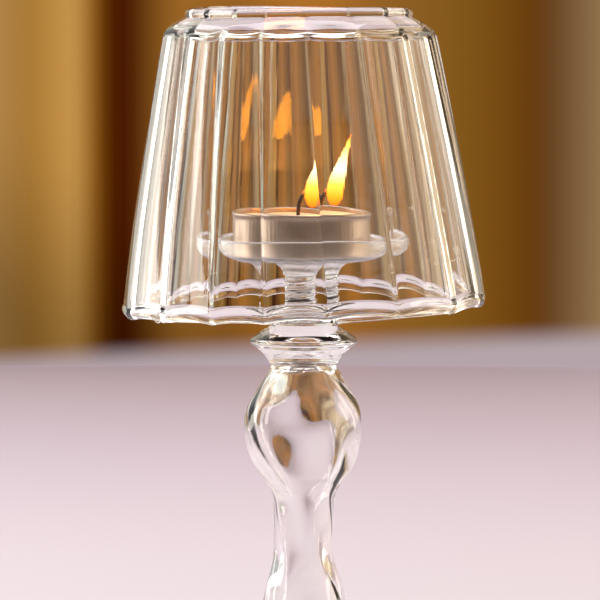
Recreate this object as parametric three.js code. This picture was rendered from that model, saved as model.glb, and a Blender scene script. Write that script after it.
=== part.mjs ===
// A clear glass tealight holder in the shape of a small table lamp.
// Millimetres, +Z up, front towards -Y, origin at the centre of the foot's resting ring.
// The stem is lampworked from separate gathers of glass that are sealed one on the other;
// the ribbed shade hangs loose on three thin arms, and the tealight lies loose in its dish.

import * as THREE from 'three';
import { mergeVertices } from 'three/addons/utils/BufferGeometryUtils.js';

// Gaps
const SEAL_GAP = 0.3; // between two pieces of glass that are sealed together
const REST_GAP = 0.3; // between a loose piece and what it rests on
const WICK_GAP = 0.3; // round the wick in its wax and in its tab

// Foot
const FOOT_RADIUS = 44;
const FOOT_HEIGHT = 20;
const FOOT_TOP_RADIUS = 17;
const FOOT_EDGE = 3.6; // thickness of the rounded rim
const FOOT_RING = 3.5; // width of the flat ring that the foot stands on

// Blown stem: a flared skirt, a waist, and a bulb
const STEM_LENGTH = 77;
const STEM_WALL = 1.6;
const WAIST_RADIUS = 7.3;
const BULB_RADIUS = 14.75;
const STEM_TOP_RADIUS = 8.5;
const STEM_RIBS = 5;
const STEM_RIB_RISE = 0.25;
const STEM_RIB_TURN = THREE.MathUtils.degToRad(200); // how far a rib winds round, end to end

// Collar below the arms
const COLLAR_RADIUS = 13.6;
const COLLAR_HEIGHT = 10.6;
const COLLAR_FOOT_RADIUS = 8.4;
const COLLAR_TOP_RADIUS = 8;
const COLLAR_EDGE = 0.6; // radius of the flange's fire-polished edge

// Hub and arms that carry the shade
const HUB_RADIUS = 9;
const HUB_THICKNESS = 2.5;
const ARM_RADIUS = 1;
const ARM_TIP_RADIUS = 1.2;
const ARM_RISE = 3.05; // tip above the hub's middle
const ARM_SEAT_ANGLE = THREE.MathUtils.degToRad(25); // where a tip meets the lower bead

// Threaded neck
const NECK_RADIUS = 5.8;
const NECK_LENGTH = 12.4;
const NECK_FOOT_RADIUS = 7.6;
const NECK_HEAD_RADIUS = 10.5;
const NECK_FLARE = 3.4; // height of the flare at either end
const THREAD_PITCH = 1.9;
const THREAD_RISE = 0.25;

// Tealight
const CUP_RADIUS = 19;
const CUP_HEIGHT = 10.5;
const CUP_WALL = 0.4;
const CUP_LIP = 0.45; // radius of the rolled lip
const WAX_LEVEL = 9.2; // wax surface above the cup's underside
const TAB_RADIUS = 6.5;
const TAB_THICKNESS = 0.3;
const TAB_TUBE_HEIGHT = 3;
const WICK_RADIUS = 0.8;
const WICK_LENGTH = 6.4; // above the wax
const WICK_LEAN = 3; // how far the burnt end leans to the right

// Dish
const DISH_ROOM = 4.1; // between the cup and the dish's wall
const DISH_WALL = 1.5;
const DISH_FLOOR = 2;
const DISH_HEIGHT = 6.6;
const DISH_CORNER = 2.9;

// Shade
const SHADE_RADIUS = 46.25;
const MOUTH_ROOM = 7.1; // round the cup as it passes through the shade's open top
const SHOULDER_STEP = 5.9; // shoulder beyond the outside of the upper bead
const SHADE_HEIGHT = 73.9; // from the lower bead's middle to the top of the upper bead
const SHADE_WALL = 1.7; // at the bottom of a flute
const SHADE_SWELL = 1.12; // 1 is a straight cone, more swells it towards the lower rim
const SHOULDER_DROP = 8.4; // shoulder below the top
const LOWER_BEAD = 3.2;
const UPPER_BEAD = 2.6;
const RIBS = 17;
const RIB_RISE = 1.4; // ridge above the bottom of a flute
const RIM_WAVE = 0.5; // how far the beads and the inside dip in at a flute
const RIB_TURN = THREE.MathUtils.degToRad(4.5); // a rib's lean from end to end
const STEPS_PER_RIB = 6;

// Levels, stacked from the foot up
const STEM_Z = FOOT_HEIGHT + SEAL_GAP;
const COLLAR_Z = STEM_Z + STEM_LENGTH + SEAL_GAP;
const HUB_Z = COLLAR_Z + COLLAR_HEIGHT + SEAL_GAP;
const NECK_Z = HUB_Z + HUB_THICKNESS + SEAL_GAP;
const DISH_Z = NECK_Z + NECK_LENGTH + SEAL_GAP;
const TEALIGHT_Z = DISH_Z + DISH_FLOOR + REST_GAP;

// The shade's rims, and where the arms' tips and its lower bead meet
const BEAD_CIRCLE = SHADE_RADIUS - LOWER_BEAD / 2;
const MOUTH_RADIUS = CUP_RADIUS + MOUTH_ROOM + UPPER_BEAD;
const SHOULDER_RADIUS = MOUTH_RADIUS + SHOULDER_STEP;
const SEAT_REACH = LOWER_BEAD / 2 + ARM_TIP_RADIUS + REST_GAP;
const TIP_CIRCLE = BEAD_CIRCLE - RIM_WAVE - SEAT_REACH * Math.cos(ARM_SEAT_ANGLE);
const TIP_Z = HUB_Z + HUB_THICKNESS / 2 + ARM_RISE;
const SHADE_Z = TIP_Z + SEAT_REACH * Math.sin(ARM_SEAT_ANGLE);

const clearGlass = () => new THREE.MeshStandardMaterial({ color: 0xe9e6ea, roughness: 0.04, metalness: 0 });
const aluminium = () => new THREE.MeshStandardMaterial({ color: 0xc9c6c2, roughness: 0.35, metalness: 1 });
const tinnedSteel = () => new THREE.MeshStandardMaterial({ color: 0x9a9894, roughness: 0.4, metalness: 1 });
const paraffin = () => new THREE.MeshStandardMaterial({ color: 0xf3e3c6, roughness: 0.5, metalness: 0 });
const charredCotton = () => new THREE.MeshStandardMaterial({ color: 0x1d1512, roughness: 0.9, metalness: 0 });

function point(radius, height) {
  return new THREE.Vector2(radius, height);
}

/** Points of an arc in the section, angles in degrees from the outward direction. */
function arc(radius, height, bend, from, to, steps) {
  const points = [];
  for (let step = 0; step <= steps; step += 1) {
    const angle = THREE.MathUtils.degToRad(from + ((to - from) * step) / steps);
    points.push(point(radius + bend * Math.cos(angle), height + bend * Math.sin(angle)));
  }
  return points;
}

/** Points of a smooth curve through the given section points. */
function smooth(points, steps) {
  return new THREE.SplineCurve(points).getPoints(steps);
}

/** Merges shared vertices, drops the empty triangles at the axis, and turns every face outwards. */
function solid(raw) {
  raw.deleteAttribute('normal');
  raw.deleteAttribute('uv');
  const geometry = mergeVertices(raw, 1e-4);
  const place = geometry.getAttribute('position');
  const corners = geometry.getIndex().array;
  const kept = [];
  let volume = 0;
  const a = new THREE.Vector3();
  const b = new THREE.Vector3();
  const c = new THREE.Vector3();
  for (let i = 0; i < corners.length; i += 3) {
    const [p, q, r] = corners.slice(i, i + 3);
    if (p !== q && q !== r && r !== p) {
      kept.push([p, q, r]);
      a.fromBufferAttribute(place, p);
      b.fromBufferAttribute(place, q);
      c.fromBufferAttribute(place, r);
      volume += a.dot(b.cross(c));
    }
  }
  geometry.setIndex(kept.flatMap(([p, q, r]) => (volume > 0 ? [p, q, r] : [p, r, q])));
  geometry.computeVertexNormals();
  return geometry;
}

/**
 * A section turned about +Z. The outline starts and ends on the axis, or closes on itself.
 * shift(radius, angle, height, index) may give each point a new radius and angle.
 */
function turned(outline, segments, shift = null) {
  const raw = new THREE.LatheGeometry(outline, segments);
  raw.rotateX(Math.PI / 2);
  if (shift) {
    const place = raw.getAttribute('position');
    for (let i = 0; i < place.count; i += 1) {
      const radius = Math.hypot(place.getX(i), place.getY(i));
      const angle = Math.atan2(place.getY(i), place.getX(i));
      const moved = shift(radius, angle, place.getZ(i), i % outline.length);
      place.setX(i, moved.radius * Math.cos(moved.angle));
      place.setY(i, moved.radius * Math.sin(moved.angle));
    }
  }
  return solid(raw);
}

function piece(name, geometry, material, z) {
  const mesh = new THREE.Mesh(geometry, material);
  mesh.name = name;
  mesh.position.z = z;
  return mesh;
}

/** Trumpet foot, open underneath, standing on a flat ring. */
function makeFoot() {
  const edge = FOOT_EDGE / 2;
  const bore = FOOT_TOP_RADIUS - STEM_WALL;
  const ringInside = FOOT_RADIUS - edge - FOOT_RING;
  const top = smooth([
    point(FOOT_RADIUS - edge, FOOT_EDGE),
    point(FOOT_RADIUS * 0.76, FOOT_EDGE + FOOT_HEIGHT * 0.13),
    point(FOOT_RADIUS * 0.53, FOOT_HEIGHT * 0.6),
    point(FOOT_TOP_RADIUS, FOOT_HEIGHT),
  ], 5);
  const underside = smooth([
    point(bore, FOOT_HEIGHT),
    point(FOOT_RADIUS * 0.53 - STEM_WALL, FOOT_HEIGHT * 0.6 - STEM_WALL * 0.5),
    point(FOOT_RADIUS * 0.76 - STEM_WALL, FOOT_HEIGHT * 0.13 + STEM_WALL * 0.5),
    point(ringInside, 0),
  ], 5);
  const rim = arc(FOOT_RADIUS - edge, edge, edge, -90, 90, 4);
  return turned([...rim, ...top.slice(1), ...underside, rim[0]], 40);
}

/** Outside of the stem, as radii at heights above its lower end. */
function stemLine() {
  return [
    point(FOOT_TOP_RADIUS, 0),
    point(WAIST_RADIUS + (FOOT_TOP_RADIUS - WAIST_RADIUS) * 0.28, STEM_LENGTH * 0.255),
    point(WAIST_RADIUS, STEM_LENGTH * 0.43),
    point(WAIST_RADIUS + 0.3, STEM_LENGTH * 0.57),
    point(BULB_RADIUS * 0.8, STEM_LENGTH * 0.672),
    point(BULB_RADIUS, STEM_LENGTH * 0.815),
    point(BULB_RADIUS * 0.71, STEM_LENGTH * 0.958),
    point(STEM_TOP_RADIUS, STEM_LENGTH),
  ];
}

/** Blown stem, a tube that is open to the foot below and shut by the collar above. */
function makeStem() {
  const outside = smooth(stemLine(), 18);
  const inside = smooth(stemLine().map((p) => point(p.x - STEM_WALL, p.y)), 12).reverse();
  const outline = [...outside, ...inside, outside[0]];
  const ribbed = (radius, angle, height, index) => {
    const along = height / STEM_LENGTH;
    const swell = Math.sin(Math.PI * along);
    const wave = Math.cos(STEM_RIBS * (angle + STEM_RIB_TURN * along));
    const rise = index > 0 && index < outside.length - 1 ? STEM_RIB_RISE * swell * wave : 0;
    return { radius: radius + rise, angle };
  };
  return turned(outline, 32, ribbed);
}

/** Solid knop with a sharp flange and a domed top. */
function makeCollar() {
  const flangeZ = COLLAR_HEIGHT * 0.64;
  const flank = smooth([
    point(COLLAR_FOOT_RADIUS, 0),
    point(COLLAR_FOOT_RADIUS + 0.5, COLLAR_HEIGHT * 0.17),
    point(COLLAR_RADIUS - 1, flangeZ - 1.1),
  ], 4);
  const dome = smooth([
    point(COLLAR_RADIUS - 0.9, flangeZ + 0.8),
    point(COLLAR_RADIUS - 2.8, COLLAR_HEIGHT * 0.86),
    point(COLLAR_TOP_RADIUS, COLLAR_HEIGHT),
  ], 4);
  const edge = arc(COLLAR_RADIUS - COLLAR_EDGE, flangeZ, COLLAR_EDGE, -45, 45, 2);
  return turned([point(0, 0), ...flank, ...edge, ...dome, point(0, COLLAR_HEIGHT)], 28);
}

/** Small disc that the arms grow from. */
function makeHub() {
  const edge = HUB_THICKNESS / 2;
  const rim = arc(HUB_RADIUS - edge, edge, edge, -90, 90, 6);
  return turned([point(0, 0), ...rim, point(0, HUB_THICKNESS)], 24);
}

/** Glass rod with a fire-polished ball at its far end, lying along its own +Z. */
function makeArm(length) {
  const neck = Math.sqrt(ARM_TIP_RADIUS ** 2 - ARM_RADIUS ** 2);
  const start = THREE.MathUtils.radToDeg(Math.atan2(-neck, ARM_RADIUS));
  const tip = arc(0, length, ARM_TIP_RADIUS, start, 90, 5);
  return turned([point(0, 0), point(ARM_RADIUS, 0), ...tip.slice(0, -1), point(0, length + ARM_TIP_RADIUS)], 12);
}

/** Solid rod with a pulled thread, flared at both ends. */
function makeNeck() {
  const rows = 22;
  const outline = [point(0, 0)];
  for (let row = 0; row <= rows; row += 1) {
    const height = (NECK_LENGTH * row) / rows;
    const low = Math.max(0, 1 - height / NECK_FLARE);
    const high = Math.max(0, 1 - (NECK_LENGTH - height) / NECK_FLARE);
    const foot = (NECK_FOOT_RADIUS - NECK_RADIUS) * low ** 2;
    const head = (NECK_HEAD_RADIUS - NECK_RADIUS) * high ** 2;
    outline.push(point(NECK_RADIUS + foot + head, height));
  }
  outline.push(point(0, NECK_LENGTH));
  const threaded = (radius, angle, height, index) => {
    const plain = Math.min(height, NECK_LENGTH - height) < NECK_FLARE;
    const wave = Math.cos((2 * Math.PI * height) / THREAD_PITCH - angle);
    return { radius: radius + (plain || index === 0 ? 0 : THREAD_RISE * wave), angle };
  };
  return turned(outline, 16, threaded);
}

/** Shallow pan that the tealight stands in. */
function makeDish() {
  const inside = CUP_RADIUS + DISH_ROOM;
  const outside = inside + DISH_WALL;
  const lip = DISH_WALL / 2;
  const bend = DISH_CORNER - DISH_WALL / 2;
  const outline = [
    point(0, 0),
    ...arc(outside - DISH_CORNER, DISH_CORNER, DISH_CORNER, -90, 0, 3),
    ...arc(outside - lip, DISH_HEIGHT - lip, lip, 0, 180, 4),
    ...arc(inside - bend, DISH_FLOOR + bend, bend, 0, -90, 3),
    point(0, DISH_FLOOR),
  ];
  return turned(outline, 36);
}

/** Radius inside the cup. */
const CUP_BORE = CUP_RADIUS - CUP_LIP - CUP_WALL;

/** Drawn aluminium cup with a rolled lip. */
function makeCup() {
  const wall = CUP_RADIUS - CUP_LIP;
  const corner = 1.2;
  const outline = [
    point(0, 0),
    ...arc(wall - corner, corner, corner, -90, 0, 3),
    ...arc(wall, CUP_HEIGHT - CUP_LIP, CUP_LIP, -60, 180, 5),
    point(CUP_BORE, CUP_HEIGHT - 2 * CUP_LIP),
    ...arc(CUP_BORE - corner, CUP_WALL + corner, corner, 0, -90, 3),
    point(0, CUP_WALL),
  ];
  return turned(outline, 36);
}

/** Wax fill, with a recess for the tab below and a hole for the wick. */
function makeWax() {
  const outside = CUP_BORE - REST_GAP;
  const bottom = CUP_WALL + REST_GAP;
  const tube = WICK_RADIUS + 2 * WICK_GAP + TAB_THICKNESS;
  const tabTop = bottom + TAB_THICKNESS + REST_GAP;
  const tubeTop = bottom + TAB_TUBE_HEIGHT + REST_GAP;
  const outline = [
    point(TAB_RADIUS + REST_GAP, bottom),
    point(outside - 1.2, bottom),
    point(outside, bottom + 1.2),
    point(outside, WAX_LEVEL),
    point(outside - 1.6, WAX_LEVEL - 0.5),
    point(WICK_RADIUS + 2, WAX_LEVEL - 0.6),
    point(WICK_RADIUS + WICK_GAP, WAX_LEVEL - 0.3),
    point(WICK_RADIUS + WICK_GAP, tubeTop),
    point(tube + WICK_GAP, tubeTop),
    point(tube + WICK_GAP, tabTop),
    point(TAB_RADIUS + REST_GAP, tabTop),
    point(TAB_RADIUS + REST_GAP, bottom),
  ];
  return turned(outline, 28);
}

/** Tinned tab with a short tube that holds the wick upright. */
function makeTab() {
  const bottom = CUP_WALL + REST_GAP;
  const bore = WICK_RADIUS + WICK_GAP;
  const tube = bore + TAB_THICKNESS;
  const outline = [
    point(bore, bottom),
    point(TAB_RADIUS, bottom),
    point(TAB_RADIUS, bottom + TAB_THICKNESS),
    point(tube, bottom + TAB_THICKNESS),
    point(tube, bottom + TAB_TUBE_HEIGHT),
    point(bore, bottom + TAB_TUBE_HEIGHT),
    point(bore, bottom),
  ];
  return turned(outline, 24);
}

/** Cotton wick, straight in the wax and bent over where it burns. */
function makeWick() {
  const bottom = CUP_WALL + REST_GAP;
  const section = new THREE.Shape();
  section.absarc(0, 0, WICK_RADIUS, 0, 2 * Math.PI, false);
  const route = new THREE.CatmullRomCurve3([
    new THREE.Vector3(0, 0, bottom),
    new THREE.Vector3(0, 0, WAX_LEVEL / 2),
    new THREE.Vector3(0, 0, WAX_LEVEL),
    new THREE.Vector3(WICK_LEAN * 0.2, 0, WAX_LEVEL + WICK_LENGTH * 0.5),
    new THREE.Vector3(WICK_LEAN, 0, WAX_LEVEL + WICK_LENGTH),
  ]);
  return solid(new THREE.ExtrudeGeometry(section, { steps: 12, curveSegments: 5, extrudePath: route }));
}

/** Outside radius of the shade on a ridge, at a height above the lower bead's middle. */
function ridgeRadius(height) {
  const along = height / (SHADE_HEIGHT - SHOULDER_DROP);
  return SHADE_RADIUS - (SHADE_RADIUS - SHOULDER_RADIUS) * along ** SHADE_SWELL;
}

/** Ribbed shade: outward ridges with hollow flutes between them, a bead at either rim. */
function makeShade() {
  const thick = SHADE_WALL + RIB_RISE;
  const shoulderZ = SHADE_HEIGHT - SHOULDER_DROP;
  const mouth = MOUTH_RADIUS - UPPER_BEAD / 2;
  const mouthZ = SHADE_HEIGHT - UPPER_BEAD / 2;
  const lowerBead = arc(BEAD_CIRCLE, 0, LOWER_BEAD / 2, -200, 20, 6);
  const upperBead = arc(mouth, mouthZ, UPPER_BEAD / 2, -20, 230, 6);
  const outside = [];
  const inside = [];
  const rows = 5;
  for (let row = 1; row <= rows; row += 1) {
    const height = (shoulderZ * row) / rows;
    outside.push(point(ridgeRadius(height), height));
    inside.unshift(point(ridgeRadius(height) - thick, Math.min(height, shoulderZ - SHADE_WALL / 2)));
  }
  const shoulder = smooth([
    outside[outside.length - 1],
    point(SHOULDER_RADIUS - 1.3, shoulderZ + 2.9),
    point(mouth + UPPER_BEAD, mouthZ - UPPER_BEAD * 0.75),
  ], 4).slice(1);
  const shoulderInside = [
    point(mouth + 0.4, mouthZ - UPPER_BEAD * 0.9),
    point(SHOULDER_RADIUS - thick - 0.9, shoulderZ + 1.9),
  ];
  const outline = [...lowerBead, ...outside, ...shoulder, ...upperBead, ...shoulderInside, ...inside];
  outline.push(outline[0]);
  const firstWall = lowerBead.length;
  const lastWall = firstWall + outside.length + 1;
  const fluted = (radius, angle, height, index) => {
    const lean = angle - RIB_TURN * (height / SHADE_HEIGHT);
    const hollow = Math.abs(Math.cos((RIBS * (angle + Math.PI / 2)) / 2));
    const depth = index >= firstWall && index < lastWall ? RIB_RISE : RIM_WAVE;
    return { radius: radius - depth * hollow, angle: lean };
  };
  return turned(outline, RIBS * STEPS_PER_RIB, fluted);
}

/** The three arms, a third of a turn apart: one straight back, two towards the front. */
function makeArms() {
  const arms = new THREE.Group();
  const rootRadius = HUB_RADIUS + SEAL_GAP;
  const reach = TIP_CIRCLE - rootRadius;
  const length = Math.hypot(reach, ARM_RISE);
  const slope = Math.atan2(reach, ARM_RISE);
  const bearings = { arm_back: 90, arm_left: 210, arm_right: 330 };
  for (const [name, bearing] of Object.entries(bearings)) {
    const arm = piece(name, makeArm(length), clearGlass(), 0);
    arm.position.x = rootRadius;
    arm.rotation.y = slope;
    const turn = new THREE.Group();
    turn.position.z = HUB_Z + HUB_THICKNESS / 2;
    turn.rotation.z = THREE.MathUtils.degToRad(bearing);
    turn.add(arm);
    arms.add(turn);
  }
  return arms;
}

function makeTealight() {
  const tealight = new THREE.Group();
  tealight.position.z = TEALIGHT_Z;
  tealight.add(piece('tealight_cup', makeCup(), aluminium(), 0));
  tealight.add(piece('wax', makeWax(), paraffin(), 0));
  tealight.add(piece('wick_tab', makeTab(), tinnedSteel(), 0));
  tealight.add(piece('wick', makeWick(), charredCotton(), 0));
  return tealight;
}

const holder = new THREE.Group();
holder.add(piece('foot', makeFoot(), clearGlass(), 0));
holder.add(piece('stem', makeStem(), clearGlass(), STEM_Z));
holder.add(piece('collar', makeCollar(), clearGlass(), COLLAR_Z));
holder.add(piece('arm_hub', makeHub(), clearGlass(), HUB_Z));
holder.add(makeArms());
holder.add(piece('neck', makeNeck(), clearGlass(), NECK_Z));
holder.add(piece('dish', makeDish(), clearGlass(), DISH_Z));

const tealightHolder = new THREE.Group();
tealightHolder.add(holder);
tealightHolder.add(piece('shade', makeShade(), clearGlass(), SHADE_Z));
tealightHolder.add(makeTealight());

export default tealightHolder;
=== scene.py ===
"""A clear glass tealight holder shaped like a table lamp, with a lit tealight under its ribbed shade.

Metres, +Z up, front towards -Y. The glass is a lampworked stem of sealed pieces, a loose shade that was
blown into a ribbed mould, and a bought tealight.
"""

import math

import bpy
import numpy as np
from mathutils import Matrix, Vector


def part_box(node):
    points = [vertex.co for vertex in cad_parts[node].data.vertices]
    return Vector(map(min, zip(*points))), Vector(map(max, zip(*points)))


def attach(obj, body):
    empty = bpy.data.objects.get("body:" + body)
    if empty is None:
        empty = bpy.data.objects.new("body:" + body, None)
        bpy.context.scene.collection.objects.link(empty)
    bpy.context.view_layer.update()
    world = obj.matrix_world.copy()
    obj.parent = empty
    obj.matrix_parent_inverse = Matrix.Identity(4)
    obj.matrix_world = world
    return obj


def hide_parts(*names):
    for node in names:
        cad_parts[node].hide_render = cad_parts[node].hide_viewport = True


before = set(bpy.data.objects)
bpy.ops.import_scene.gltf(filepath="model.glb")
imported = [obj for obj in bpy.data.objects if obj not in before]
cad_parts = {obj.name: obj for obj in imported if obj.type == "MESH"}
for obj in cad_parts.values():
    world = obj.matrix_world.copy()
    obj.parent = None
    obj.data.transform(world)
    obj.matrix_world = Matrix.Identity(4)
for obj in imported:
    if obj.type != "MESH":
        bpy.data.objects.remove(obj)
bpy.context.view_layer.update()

# ---------------------------------------------------------------------------------------------------
# Foot: a blown trumpet foot, open underneath, that stands on a narrow flat ring ground on its rim.
# Soda glass, flared on the pipe while hot and fire-polished. The stem is sealed onto its throat.


def smooth_line(points, count):
    """Catmull-Rom curve through the points, as count points evenly spaced in its parameter."""
    p = np.asarray(points, float)
    p = np.vstack([2 * p[0] - p[1], p, 2 * p[-1] - p[-2]])
    t = np.linspace(0, len(p) - 3, count)
    i = np.minimum(t.astype(int), len(p) - 4)
    f = (t - i)[:, None]
    a, b, c, d = p[i], p[i + 1], p[i + 2], p[i + 3]
    return 0.5 * (2 * b + (c - a) * f + (2 * a - 5 * b + 4 * c - d) * f**2 + (3 * b - a - 3 * c + d) * f**3)


def arc_line(radius, height, bend, start, stop, count):
    """Arc of radius bend about (radius, height), start and stop in degrees from straight outwards."""
    a = np.radians(np.linspace(start, stop, count))
    return np.column_stack([radius + bend * np.cos(a), height + bend * np.sin(a)])


def around(columns):
    """Angles round the axis, measured from the front (-Y) towards the right (+X)."""
    return np.linspace(0, 2 * math.pi, columns, endpoint=False)[None, :]


def turned(radius, angle, height):
    """Grid of points at radius and height on each angle: x = r sin a, y = -r cos a."""
    radius, angle, height = np.broadcast_arrays(radius, angle, height)
    return np.stack([radius * np.sin(angle), -radius * np.cos(angle), height], axis=-1)


crease_angle = math.radians(55)


def skin(name, grid, ring, sealed=()):
    """Closed mesh of a grid, rows along the section and columns round the piece.

    The columns always join up. With ring the last row joins the first, and without it the first and
    last rows lie on the axis and are one point each. UV is the share of the way round and along. The
    faces after each row in sealed get the second material: glass runs on through them unbroken.
    """
    rows, columns = grid.shape[:2]
    j = np.arange(columns)
    k = (j + 1) % columns
    if ring:
        points = grid.reshape(-1, 3)
        i = np.arange(rows)[:, None]
        n = (i + 1) % rows
        quads = np.stack([i * columns + j, i * columns + k, n * columns + k, n * columns + j], -1)
        row_of = np.repeat(np.arange(rows), columns)
        tris = np.zeros((0, 3), int)
        tri_row = np.zeros(0, int)
    else:
        points = np.vstack([grid[0, :1], grid[1:-1].reshape(-1, 3), grid[-1, :1]])
        i = np.arange(1, rows - 2)[:, None]
        at = 1 + (i - 1) * columns
        quads = np.stack([at + j, at + k, at + columns + k, at + columns + j], -1)
        row_of = np.repeat(np.arange(1, rows - 2), columns)
        end = len(points) - 1
        last = 1 + (rows - 3) * columns
        tris = np.vstack([
            np.stack([np.zeros_like(j), 1 + k, 1 + j], -1),
            np.stack([last + j, last + k, np.full_like(j, end)], -1),
        ])
        tri_row = np.repeat([0, rows - 2], columns)
    quads = quads.reshape(-1, 4)
    u0 = np.tile(j, len(quads) // columns) / columns
    v0, v1 = row_of / rows, (row_of + 1) / rows
    quad_uv = np.stack([
        np.stack([u0, v0], -1), np.stack([u0 + 1 / columns, v0], -1),
        np.stack([u0 + 1 / columns, v1], -1), np.stack([u0, v1], -1),
    ], 1)
    tri_u = np.tile(j, len(tris) // columns)[:, None] / columns + np.array([0.5, 1.0, 0.0]) / columns
    tri_v = np.where(tri_row[:, None] == 0, [0.0, 1 / rows, 1 / rows], [1.0, 1 - 1 / rows, 1 - 1 / rows])
    tri_uv = np.stack([tri_u, tri_v], -1)
    a, b, c, d = (points[quads[:, s]] for s in range(4))
    volume = np.einsum("ij,ij->", a, np.cross(b, c)) + np.einsum("ij,ij->", a, np.cross(c, d))
    if len(tris):
        e, f, g = (points[tris[:, s]] for s in range(3))
        volume += np.einsum("ij,ij->", e, np.cross(f, g))
    if volume < 0:
        quads, quad_uv = quads[:, ::-1], quad_uv[:, ::-1]
        tris, tri_uv = tris[:, ::-1], tri_uv[:, ::-1]
    corners = np.concatenate([quads.ravel(), tris.ravel()])
    starts = np.concatenate([np.arange(len(quads)) * 4, len(quads) * 4 + np.arange(len(tris)) * 3])
    slots = np.isin(np.concatenate([row_of, tri_row]), list(sealed)).astype(np.int32)
    mesh = bpy.data.meshes.new(name)
    mesh.vertices.add(len(points))
    mesh.vertices.foreach_set("co", points.astype(np.float32).ravel())
    mesh.loops.add(len(corners))
    mesh.loops.foreach_set("vertex_index", corners.astype(np.int32))
    mesh.polygons.add(len(starts))
    mesh.polygons.foreach_set("loop_start", starts.astype(np.int32))
    mesh.polygons.foreach_set("material_index", slots)
    mesh.update(calc_edges=True)
    uv = mesh.uv_layers.new(name="UVMap")
    uv.data.foreach_set("uv", np.concatenate([quad_uv.reshape(-1), tri_uv.reshape(-1)]).astype(np.float32))
    mesh.polygons.foreach_set("use_smooth", np.ones(len(starts), bool))
    mesh.set_sharp_from_angle(angle=crease_angle)
    piece = bpy.data.objects.new(name, mesh)
    bpy.context.collection.objects.link(piece)
    return piece


def socket(group, name, in_out, kind, value=None):
    """One named input or output of a node group."""
    made = group.interface.new_socket(name=name, in_out=in_out, socket_type=kind)
    if value is not None:
        made.default_value = value
    return made


def hand_made_surface():
    """Group: drawn lines along the axis, soft waves, seeds and finger marks of hand-worked glass.

    Lines is noise stretched along Z on the direction round the axis, Waves is broad noise, and Seeds
    is a sparse field of small bumps. Marks is 1 on a faint finger mark and 0 on clean glass.
    """
    group = bpy.data.node_groups.new("hand_made_surface", "ShaderNodeTree")
    socket(group, "Fineness", "INPUT", "NodeSocketFloat", 40.0)
    socket(group, "Stretch", "INPUT", "NodeSocketFloat", 4.0)
    socket(group, "Height", "OUTPUT", "NodeSocketFloat")
    socket(group, "Marks", "OUTPUT", "NodeSocketFloat")
    add, link = group.nodes.new, group.links.new
    given = add("NodeGroupInput")
    put = add("NodeGroupOutput")
    place = add("ShaderNodeTexCoord")
    split = add("ShaderNodeSeparateXYZ")
    flat = add("ShaderNodeCombineXYZ")
    facing = add("ShaderNodeVectorMath")
    facing.operation = "NORMALIZE"
    fine = add("ShaderNodeVectorMath")
    fine.operation = "SCALE"
    rise = add("ShaderNodeMath")
    rise.operation = "MULTIPLY"
    lift = add("ShaderNodeCombineXYZ")
    where = add("ShaderNodeVectorMath")
    where.operation = "ADD"
    lines = add("ShaderNodeTexNoise")
    lines.inputs["Scale"].default_value = 1.0
    lines.inputs["Detail"].default_value = 3.0
    lines.inputs["Roughness"].default_value = 0.6
    waves = add("ShaderNodeTexNoise")
    waves.inputs["Scale"].default_value = 160.0
    waves.inputs["Detail"].default_value = 1.0
    seeds = add("ShaderNodeTexVoronoi")
    seeds.inputs["Scale"].default_value = 260.0
    seed = add("ShaderNodeMapRange")
    seed.inputs["From Min"].default_value = 0.06
    seed.inputs["From Max"].default_value = 0.0
    wave_part = add("ShaderNodeMath")
    wave_part.operation = "MULTIPLY_ADD"
    wave_part.inputs[1].default_value = 0.5
    seed_part = add("ShaderNodeMath")
    seed_part.operation = "MULTIPLY_ADD"
    seed_part.inputs[1].default_value = 0.25
    smear = add("ShaderNodeTexNoise")
    smear.inputs["Scale"].default_value = 70.0
    smear.inputs["Detail"].default_value = 4.0
    mark = add("ShaderNodeMapRange")
    mark.inputs["From Min"].default_value = 0.56
    mark.inputs["From Max"].default_value = 0.72
    link(place.outputs["Object"], split.inputs[0])
    link(split.outputs["X"], flat.inputs["X"])
    link(split.outputs["Y"], flat.inputs["Y"])
    link(flat.outputs[0], facing.inputs[0])
    link(facing.outputs[0], fine.inputs[0])
    link(given.outputs["Fineness"], fine.inputs["Scale"])
    link(split.outputs["Z"], rise.inputs[0])
    link(given.outputs["Stretch"], rise.inputs[1])
    link(rise.outputs[0], lift.inputs["Z"])
    link(fine.outputs[0], where.inputs[0])
    link(lift.outputs[0], where.inputs[1])
    link(where.outputs[0], lines.inputs["Vector"])
    link(place.outputs["Object"], waves.inputs["Vector"])
    link(place.outputs["Object"], seeds.inputs["Vector"])
    link(place.outputs["Object"], smear.inputs["Vector"])
    link(seeds.outputs["Distance"], seed.inputs["Value"])
    link(waves.outputs["Fac"], wave_part.inputs[0])
    link(lines.outputs["Fac"], wave_part.inputs[2])
    link(seed.outputs[0], seed_part.inputs[0])
    link(wave_part.outputs[0], seed_part.inputs[2])
    link(smear.outputs["Fac"], mark.inputs["Value"])
    link(seed_part.outputs[0], put.inputs["Height"])
    link(mark.outputs[0], put.inputs["Marks"])
    return group


surface_group = hand_made_surface()
glass_bend = 1.48


def new_finish(name):
    """A new material with its nodes and links."""
    material = bpy.data.materials.new(name)
    material.use_nodes = True
    return material, material.node_tree.nodes, material.node_tree.links


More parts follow.
